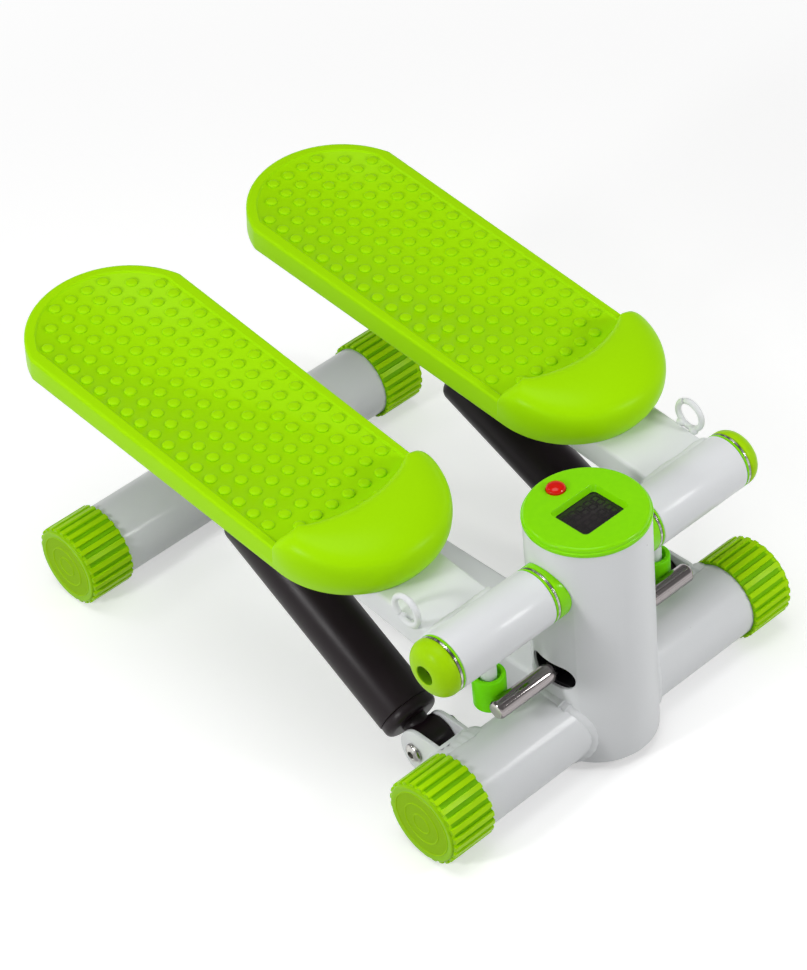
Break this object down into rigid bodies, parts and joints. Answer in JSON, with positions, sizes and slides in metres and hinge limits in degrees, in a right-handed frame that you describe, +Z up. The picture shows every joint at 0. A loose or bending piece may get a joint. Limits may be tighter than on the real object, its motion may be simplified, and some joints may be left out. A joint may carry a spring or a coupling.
{
  "type": "mini stepper",
  "caption": "Mini stepper: foot plates with toe lips on hinged arms, a rocker bar that links them, damping cylinders, and a display on a central post over an I-shaped tube base",
  "frame": {"origin": "middle of the bounding box on the floor, with the foot plates level with each other", "axes": "+X to the left of the user, +Y from the post toward the heels, +Z up"},
  "size_m": [0.3008, 0.411, 0.2131],
  "materials": {
    "white_paint": "smooth gloss powder coat",
    "lime_plate": "satin moulded",
    "green_plastic": "smooth moulded",
    "cap_rubber": "ribbed, grained ends",
    "dome_plastic": "satin moulded",
    "bumper_rubber": "smooth",
    "black_paint": "semi-gloss",
    "black_nylon": "matt moulded",
    "zinc_steel": "zinc plated",
    "chrome": "polished",
    "display_glass": "dark clear pane",
    "red_button": "polished dome"
  },
  "bodies": {
    "base": {"post": "white_paint", "spine_tube": "white_paint", "front_tube_left": "white_paint", "front_tube_right": "white_paint", "rear_tube": "white_paint", "front_left_foot_cap": "cap_rubber", "front_right_foot_cap": "cap_rubber", "rear_left_foot_cap": "cap_rubber", "rear_right_foot_cap": "cap_rubber", "pivot_shaft": "zinc_steel", "rocker_carrier": "black_nylon", "rocker_pin": "zinc_steel", "display_cover": "green_plastic", "display_glass": "display_glass", "display_module": "black_nylon", "left_collar": "green_plastic", "left_inner_washer": "zinc_steel", "left_outer_washer": "zinc_steel", "left_dome_cap": "dome_plastic", "left_end_bolt": "zinc_steel", "left_clevis": "white_paint", "left_clevis_bolt": "zinc_steel", "left_clevis_nut": "zinc_steel", "right_collar": "green_plastic", "right_inner_washer": "zinc_steel", "right_outer_washer": "zinc_steel", "right_dome_cap": "dome_plastic", "right_end_bolt": "zinc_steel", "right_clevis": "white_paint", "right_clevis_bolt": "zinc_steel", "right_clevis_nut": "zinc_steel"},
    "left_arm": {"left_sleeve": "white_paint", "left_inner_bush": "green_plastic", "left_outer_bush": "green_plastic", "left_arm": "white_paint", "left_band_ring": "white_paint", "left_bumper_stud": "white_paint", "left_bumper": "bumper_rubber", "left_foot_plate": "lime_plate", "left_rod_bracket": "white_paint", "left_rod_pin": "zinc_steel"},
    "right_arm": {"right_sleeve": "white_paint", "right_inner_bush": "green_plastic", "right_outer_bush": "green_plastic", "right_arm": "white_paint", "right_band_ring": "white_paint", "right_bumper_stud": "white_paint", "right_bumper": "bumper_rubber", "right_foot_plate": "lime_plate", "right_rod_bracket": "white_paint", "right_rod_pin": "zinc_steel"},
    "left_cylinder": {"left_cylinder": "black_paint"},
    "right_cylinder": {"right_cylinder": "black_paint"},
    "left_rod": {"left_piston_rod": "chrome"},
    "right_rod": {"right_piston_rod": "chrome"},
    "rocker": {"rocker_bar": "chrome"},
    "button": {"display_button": "red_button"}
  },
  "joints": [
    {"name": "left_step", "type": "hinge", "parent": "base", "child": "left_arm", "pos_m": [0.0815, -0.16701, 0.1379], "axis": [1, 0, 0], "range_deg": [-12, 12]},
    {"name": "right_step", "type": "hinge", "parent": "base", "child": "right_arm", "pos_m": [-0.0815, -0.16701, 0.1379], "axis": [1, 0, 0], "range_deg": [-12, 12]},
    {"name": "rocker_swing", "type": "hinge", "parent": "base", "child": "rocker", "pos_m": [0, -0.16701, 0.0733], "axis": [0, 0, 1], "range_deg": [-11.2, 11.2]},
    {"name": "left_cylinder_swing", "type": "hinge", "parent": "base", "child": "left_cylinder", "pos_m": [0.0984, -0.12341, 0.0313], "axis": [1, 0, 0], "range_deg": [-11.6, 11.6]},
    {"name": "left_rod_slide", "type": "slide", "parent": "left_cylinder", "child": "left_rod", "axis": [-0.0308, 0.8854, 0.4638], "range_m": [-0.0242, 0.0242]},
    {"name": "right_cylinder_swing", "type": "hinge", "parent": "base", "child": "right_cylinder", "pos_m": [-0.0984, -0.12341, 0.0313], "axis": [1, 0, 0], "range_deg": [-11.6, 11.6]},
    {"name": "right_rod_slide", "type": "slide", "parent": "right_cylinder", "child": "right_rod", "axis": [0.0308, 0.8854, 0.4638], "range_m": [-0.0242, 0.0242]},
    {"name": "button_press", "type": "slide", "parent": "base", "child": "button", "axis": [0, 0, -1], "range_m": [0, 0.0015], "stiffness_N_per_m": 300}
  ],
  "couplings": [
    {"joint": "right_step", "follows": "left_step", "ratio": -1},
    {"joint": "rocker_swing", "follows": "left_step", "ratio": 0.917},
    {"joint": "left_cylinder_swing", "follows": "left_step", "ratio": 0.95446},
    {"joint": "right_cylinder_swing", "follows": "left_step", "ratio": -0.95446},
    {"joint": "left_rod_slide", "follows": "left_step", "m_per_rad": 0.11409},
    {"joint": "right_rod_slide", "follows": "left_step", "m_per_rad": -0.11409}
  ]
}
